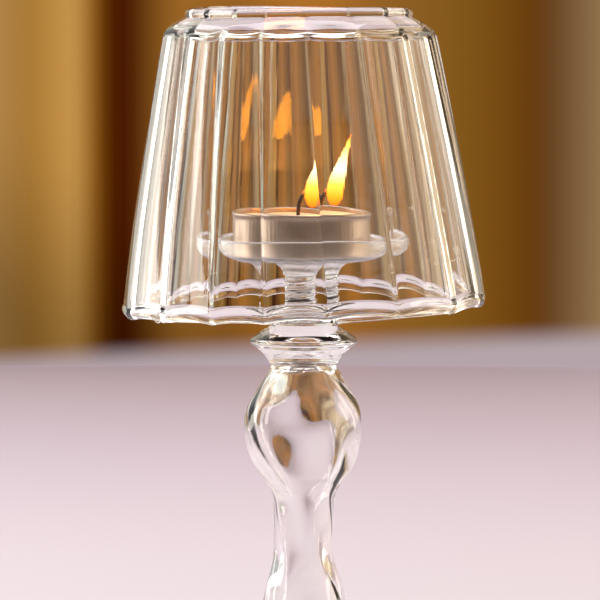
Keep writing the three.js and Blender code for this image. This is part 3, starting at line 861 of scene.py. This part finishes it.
def flame_light():
    """Emission that is thin at the edge and full in the body, coloured by height.

    It is calmer as a lamp on the wax and stronger where the glass mirrors it, as a real flame's range
    of brightness is far wider than a picture's.
    """
    material, nodes, links = new_finish("flame_light")
    nodes.remove(nodes["Principled BSDF"])
    place = nodes.new("ShaderNodeTexCoord")
    split = nodes.new("ShaderNodeSeparateXYZ")
    rise = nodes.new("ShaderNodeMapRange")
    rise.inputs["From Min"].default_value = flame_base_z
    rise.inputs["From Max"].default_value = flame_tip[1]
    colour = nodes.new("ShaderNodeValToRGB")
    colour.color_ramp.elements[0].position = 0.0
    colour.color_ramp.elements[0].color = (1.0, 0.10, 0.004, 1.0)
    colour.color_ramp.elements[1].position = 1.0
    colour.color_ramp.elements[1].color = (1.0, 0.20, 0.01, 1.0)
    colour.color_ramp.elements.new(0.12).color = (1.0, 0.20, 0.006, 1.0)
    colour.color_ramp.elements.new(0.30).color = (1.0, 0.38, 0.04, 1.0)
    colour.color_ramp.elements.new(0.52).color = (1.0, 0.70, 0.38, 1.0)
    colour.color_ramp.elements.new(0.84).color = (1.0, 0.40, 0.06, 1.0)
    light = nodes.new("ShaderNodeEmission")
    path = nodes.new("ShaderNodeLightPath")
    calm = nodes.new("ShaderNodeMath")
    calm.operation = "MULTIPLY_ADD"
    calm.inputs[1].default_value = -1.2
    calm.inputs[2].default_value = 3.2
    amber = nodes.new("ShaderNodeMix")
    amber.data_type = "RGBA"
    amber.inputs["B"].default_value = (1.0, 0.33, 0.03, 1.0)
    mirrored = nodes.new("ShaderNodeMath")
    mirrored.operation = "MULTIPLY_ADD"
    mirrored.inputs[1].default_value = 24.0
    clear = nodes.new("ShaderNodeBsdfTransparent")
    edge = nodes.new("ShaderNodeLayerWeight")
    edge.inputs["Blend"].default_value = 0.35
    body = nodes.new("ShaderNodeMapRange")
    body.inputs["From Min"].default_value = 0.2
    body.inputs["From Max"].default_value = 1.0
    body.inputs["To Min"].default_value = 1.0
    body.inputs["To Max"].default_value = 0.1
    both = nodes.new("ShaderNodeMixShader")
    links.new(place.outputs["Object"], split.inputs[0])
    links.new(split.outputs["Z"], rise.inputs["Value"])
    links.new(rise.outputs[0], colour.inputs["Fac"])
    links.new(path.outputs["Is Reflection Ray"], amber.inputs["Factor"])
    links.new(colour.outputs["Color"], amber.inputs["A"])
    links.new(amber.outputs["Result"], light.inputs["Color"])
    links.new(path.outputs["Is Diffuse Ray"], calm.inputs[0])
    links.new(path.outputs["Is Reflection Ray"], mirrored.inputs[0])
    links.new(calm.outputs[0], mirrored.inputs[2])
    links.new(mirrored.outputs[0], light.inputs["Strength"])
    links.new(edge.outputs["Facing"], body.inputs["Value"])
    links.new(body.outputs[0], both.inputs["Fac"])
    links.new(clear.outputs[0], both.inputs[1])
    links.new(light.outputs[0], both.inputs[2])
    links.new(both.outputs[0], nodes["Material Output"].inputs["Surface"])
    return material


flame.data.materials.append(flame_light())
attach(flame, "tealight")

# ---------------------------------------------------------------------------------------------------
# Shade: clear glass blown into a ribbed mould, cut at both ends and fire-polished into thick beads.
# It has outward ridges, hollow flutes and a nearly smooth inside, and lies loose on the arms' tips.

lower_bead = 0.0016
upper_bead = 0.0013
shade_radius = max(shade_high[0], -shade_low[0])
bead_middle = shade_low[2] + lower_bead
shade_top = shade_high[2]
mouth_radius = 0.0287 - upper_bead
mouth_middle = shade_top - upper_bead
shoulder_radius = 0.0346
shoulder_height = shade_top - 0.0074
shade_wall = 0.0017
rib_rise = 0.0012
inner_wave = 0.0004
ribs = 17
steps_per_rib = 28
ridge_softness = 0.03
rib_lean = math.radians(4.5)
rib_unevenness = math.radians(3.2)
uneven_turn = math.radians(10)
flute_end = 0.0040
rim_dip = 0.0006
shade_lean = 0.018


def shade_grid():
    """Section points turned round the axis, with ridges pushed out and the rims made uneven.

    Between two ridges the outside dips by rise * (1 - s^2), s running from -1 to 1 across a flute
    and softened at the ridge. The ridges lean with height and are spaced a little unevenly, by a
    cosine that repeats three times round the shade. The lower rim dips at each ridge, and the whole
    shade leans a little to the left on its arms: x falls by a share of the height above the rim.
    """
    tall = shoulder_height - bead_middle
    rise = np.linspace(0.02, 1, 54)
    ridge = shade_radius - (shade_radius - shoulder_radius) * rise**1.12
    wall_out = np.column_stack([ridge, bead_middle + tall * rise])
    wall_in = (wall_out - [shade_wall + rib_rise * 0.8, 0.0])[::-1]
    shoulder_out = smooth_line([
        wall_out[-1], (shoulder_radius - 0.0011, shoulder_height + 0.0020),
        (mouth_radius + 0.0034, mouth_middle - 0.0022), (mouth_radius + 0.0011, mouth_middle - 0.0010),
    ], 18)[1:]
    shoulder_in = smooth_line([
        (mouth_radius - 0.0004, mouth_middle - 0.0014), (mouth_radius + 0.0022, mouth_middle - 0.0040),
        (shoulder_radius - 0.0042, shoulder_height + 0.0008), wall_in[0],
    ], 16)[:-1]
    bead_out = arc_line(shade_radius - lower_bead, bead_middle, lower_bead, -195, 25, 24)
    bead_top = arc_line(mouth_radius, mouth_middle, upper_bead, -40, 235, 24)
    line = np.vstack([bead_out, wall_out, shoulder_out, bead_top, shoulder_in, wall_in])
    first, last = len(bead_out), len(bead_out) + len(wall_out) + len(shoulder_out)
    row = np.arange(len(line))
    outer = ((row >= first) & (row < last))[:, None]
    share = np.clip((line[:, 1:] - bead_middle) / (shade_top - bead_middle), 0, 1)
    step = np.linspace(-1, 1, steps_per_rib, endpoint=False)
    across = np.tile(np.sin(math.pi * step / 2), ribs)[None, :]
    even = 2 * math.pi / ribs * (np.repeat(np.arange(ribs), steps_per_rib)[None, :] + across / 2)
    from_ridge = 1 - np.abs(across)
    flute = 1 - (1 - np.sqrt(from_ridge**2 + ridge_softness**2) + ridge_softness) ** 2
    uneven = -rib_unevenness * np.cos(3 * (even - uneven_turn))
    angle = even + uneven - rib_lean * share
    flute_top = shade_top - flute_end
    fade = np.clip((flute_top - line[:, 1:]) / (flute_top - shoulder_height), 0, 1)
    depth = np.where(outer, rib_rise * fade, inner_wave)
    radius = line[:, :1] - depth * flute
    low = np.clip(1 - share / 0.25, 0, 1)
    lift = rim_dip * (flute - 0.6) + 0.0003 * np.sin(2 * even + 1.1) + 0.00025 * np.sin(5 * even)
    high = np.clip((share - 0.85) / 0.15, 0, 1)
    height = line[:, 1:] + low * (lift + rim_tilt * shade_radius * np.sin(even))
    height = height + high * (0.0003 * np.sin(2 * even + 0.4) - 0.0003)
    grid = turned(radius, angle, height)
    grid[..., 0] -= shade_lean * (grid[..., 2] - bead_middle)
    return grid


shade = skin("shade_glass", shade_grid(), ring=True)
shade_glass = clear_glass("shade_glass", fineness=48, stretch=4, relief=0.000012)
place_glass(shade, shade_glass, "shade", "shade")

# ---------------------------------------------------------------------------------------------------
# Stage: a pale cloth-covered table, a warm backdrop all round it with painted light and shade, and soft
# studio lamps.
# The backdrop shows only from inside, so a camera outside it looks straight through it.


def table_cloth():
    """Pale cloth that turns a little darker and more lilac with distance: painted shade on the far table.
    """
    material, nodes, links = new_finish("table_cloth")
    cloth = nodes["Principled BSDF"]
    cloth.inputs["Roughness"].default_value = 0.85
    place = nodes.new("ShaderNodeTexCoord")
    split = nodes.new("ShaderNodeSeparateXYZ")
    away = nodes.new("ShaderNodeMapRange")
    away.inputs["From Min"].default_value = -0.1
    away.inputs["From Max"].default_value = 0.7
    # Painted shade: the far colour is darker and more lilac than the near one.
    colour = nodes.new("ShaderNodeMix")
    colour.data_type = "RGBA"
    colour.inputs["A"].default_value = (0.665, 0.63, 0.675, 1.0)
    colour.inputs["B"].default_value = (0.64, 0.56, 0.685, 1.0)
    links.new(place.outputs["Object"], split.inputs[0])
    links.new(split.outputs["Y"], away.inputs["Value"])
    links.new(away.outputs[0], colour.inputs["Factor"])
    links.new(colour.outputs["Result"], cloth.inputs["Base Color"])
    return material


# Painted light and shade of the curtain's folds: one warm cloth drawn as lit and shaded bands, its
# brightest stops painted bright light from the sides.
fold_light_and_shade = {
    0.0: (1.9, 1.62, 1.25), 1.0: (0.95, 0.74, 0.48), 0.10: (1.9, 1.62, 1.25), 0.17: (0.8, 0.56, 0.32),
    0.245: (1.9, 1.6, 1.2), 0.285: (0.8, 0.58, 0.36), 0.318: (0.16, 0.05, 0.01), 0.345: (0.70, 0.42, 0.17),
    0.382: (0.30, 0.13, 0.01), 0.398: (0.55, 0.28, 0.065), 0.406: (0.56, 0.30, 0.075),
    0.413: (0.26, 0.09, 0.005), 0.42: (0.05, 0.004, 0.0), 0.432: (0.06, 0.006, 0.0),
    0.45: (0.40, 0.17, 0.025), 0.47: (0.24, 0.09, 0.015), 0.50: (0.50, 0.19, 0.025),
    0.53: (0.28, 0.11, 0.02), 0.555: (0.25, 0.115, 0.015), 0.585: (0.18, 0.065, 0.005),
    0.61: (0.07, 0.015, 0.0), 0.65: (0.60, 0.40, 0.19), 0.70: (0.16, 0.06, 0.015),
    0.76: (0.95, 0.72, 0.44), 0.86: (0.30, 0.15, 0.05),
}
fold_reach = 0.6
shadow_edge = 0.06
# Painted shade: the front of the ring has this dark colour, standing in for the unlit room behind the
# camera.
unlit_room_shade = (0.17, 0.12, 0.085)
table_haze = (0.46, 0.375, 0.40)
haze_tilt = -0.043


def backdrop_cloth():
    """Warm curtain whose folds by X are painted light and shade, in painted shade low on the left, painted
    dark in front for the unlit room, and hazy at the table's edge.
    """
    material, nodes, links = new_finish("backdrop_cloth")
    nodes.remove(nodes["Principled BSDF"])
    place = nodes.new("ShaderNodeTexCoord")
    split = nodes.new("ShaderNodeSeparateXYZ")
    across = nodes.new("ShaderNodeMapRange")
    across.inputs["From Min"].default_value = -fold_reach
    across.inputs["From Max"].default_value = fold_reach
    folds = nodes.new("ShaderNodeValToRGB")
    folds.color_ramp.interpolation = "B_SPLINE"
    stops = folds.color_ramp.elements
    for position, colour in fold_light_and_shade.items():
        stop = stops[int(position)] if position in (0.0, 1.0) else stops.new(position)
        stop.color = (*colour, 1.0)
    slant = nodes.new("ShaderNodeMath")
    slant.operation = "MULTIPLY_ADD"
    slant.inputs[1].default_value = 0.5
    shadow = nodes.new("ShaderNodeMapRange")
    shadow.interpolation_type = "SMOOTHSTEP"
    shadow.inputs["From Min"].default_value = -shadow_edge
    shadow.inputs["From Max"].default_value = shadow_edge
    shadow.inputs["To Min"].default_value = 0.5
    shaded = nodes.new("ShaderNodeVectorMath")
    shaded.operation = "SCALE"
    skew = nodes.new("ShaderNodeMath")
    skew.operation = "MULTIPLY_ADD"
    skew.inputs[1].default_value = 0.2
    behind = nodes.new("ShaderNodeMapRange")
    behind.interpolation_type = "SMOOTHSTEP"
    behind.inputs["From Min"].default_value = -0.75
    behind.inputs["From Max"].default_value = -0.05
    room = nodes.new("ShaderNodeMix")
    room.data_type = "RGBA"
    room.inputs["A"].default_value = (*unlit_room_shade, 1.0)
    tilt = nodes.new("ShaderNodeMath")
    tilt.operation = "MULTIPLY_ADD"
    tilt.inputs[1].default_value = haze_tilt
    rise = nodes.new("ShaderNodeMapRange")
    rise.interpolation_type = "SMOOTHSTEP"
    rise.inputs["From Min"].default_value = 0.001
    rise.inputs["From Max"].default_value = 0.018
    blend = nodes.new("ShaderNodeMix")
    blend.data_type = "RGBA"
    blend.inputs["A"].default_value = (*table_haze, 1.0)
    light = nodes.new("ShaderNodeEmission")
    clear = nodes.new("ShaderNodeBsdfTransparent")
    side = nodes.new("ShaderNodeNewGeometry")
    either = nodes.new("ShaderNodeMixShader")
    x, y, z = (split.outputs[axis] for axis in "XYZ")
    for start, end in (
        (place.outputs["Object"], split.inputs[0]), (x, across.inputs["Value"]),
        (across.outputs[0], folds.inputs["Fac"]), (x, slant.inputs[0]), (z, slant.inputs[2]),
        (slant.outputs[0], shadow.inputs["Value"]), (folds.outputs["Color"], shaded.inputs[0]),
        (shadow.outputs[0], shaded.inputs["Scale"]), (shaded.outputs[0], room.inputs["B"]),
        (x, skew.inputs[0]), (y, skew.inputs[2]), (skew.outputs[0], behind.inputs["Value"]),
        (behind.outputs[0], room.inputs["Factor"]), (x, tilt.inputs[0]), (z, tilt.inputs[2]),
        (tilt.outputs[0], rise.inputs["Value"]), (rise.outputs[0], blend.inputs["Factor"]),
        (room.outputs["Result"], blend.inputs["B"]), (blend.outputs["Result"], light.inputs["Color"]),
        (side.outputs["Backfacing"], either.inputs["Fac"]), (light.outputs[0], either.inputs[1]),
        (clear.outputs[0], either.inputs[2]),
        (either.outputs[0], nodes["Material Output"].inputs["Surface"]),
    ):
        links.new(start, end)
    return material


def stage_piece(name, points, faces, material):
    """A flat-faced piece of the stage from its points and faces."""
    mesh = bpy.data.meshes.new(name)
    mesh.from_pydata(points, [], faces)
    mesh.materials.append(material)
    piece = bpy.data.objects.new(name, mesh)
    bpy.context.collection.objects.link(piece)


room_radius = 1.05
room_height = 1.6
room_sides = 96
rim_angle = 2 * math.pi * np.arange(room_sides) / room_sides
room_rim = np.column_stack([np.cos(rim_angle), np.sin(rim_angle)]) * room_radius
floor_points = [(x, y, 0.0) for x, y in room_rim]
stage_piece("table", floor_points, [tuple(range(room_sides))], table_cloth())
wall_points = floor_points + [(x, y, room_height) for x, y in room_rim]
wall_faces = [
    ((i + 1) % room_sides, i, room_sides + i, room_sides + (i + 1) % room_sides) for i in range(room_sides)
]
stage_piece("backdrop", wall_points, wall_faces, backdrop_cloth())


def soft_lamp(name, place, size, power, colour):
    """Rectangular soft box at place, turned to face the object's middle."""
    lamp = bpy.data.lights.new(name, "AREA")
    lamp.shape = "RECTANGLE"
    lamp.size, lamp.size_y = size
    lamp.energy = power
    lamp.color = colour
    box = bpy.data.objects.new(name, lamp)
    bpy.context.collection.objects.link(box)
    box.location = place
    towards = [a - b for a, b in zip(middle, place)]
    box.rotation_mode = "QUATERNION"
    box.rotation_quaternion = Vector(towards).to_track_quat("-Z", "Y")
    box.visible_camera = False


middle = (0.0, 0.0, 0.12)
soft_lamp("left_strip", (-0.84, -0.04, 0.36), (0.16, 0.9), 3.4, (1.0, 0.95, 0.86))
soft_lamp("left_rim", (-0.71, 0.45, 0.36), (0.20, 0.9), 2.8, (1.0, 0.92, 0.80))
soft_lamp("right_rim", (0.71, 0.45, 0.36), (0.16, 0.9), 1.1, (1.0, 0.90, 0.76))
soft_lamp("right_strip", (0.84, 0.04, 0.36), (0.14, 0.9), 1.6, (1.0, 0.90, 0.74))
soft_lamp("top_box", (0.0, 0.2, 1.2), (0.8, 0.8), 8.4, (0.985, 0.98, 1.0))

world = bpy.data.worlds.new("studio")
bpy.context.scene.world = world
world.use_nodes = True
sky = world.node_tree.nodes["Background"]
sky.inputs["Color"].default_value = (0.86, 0.84, 0.88, 1.0)
sky.inputs["Strength"].default_value = 0.3

look_down = math.radians(4.47)
camera_data = bpy.data.cameras.new("camera")
camera_data.lens = 250.0
camera_data.sensor_width = 36.0
camera = bpy.data.objects.new("camera", camera_data)
bpy.context.collection.objects.link(camera)
camera.location = (-0.0009, -1.043, 0.196)
camera.rotation_euler = (math.radians(90) - look_down, 0.0, 0.0)
camera_data.clip_start, camera_data.clip_end = 0.05, 10.0
bpy.context.scene.camera = camera
bpy.context.scene.view_settings.view_transform = "Standard"
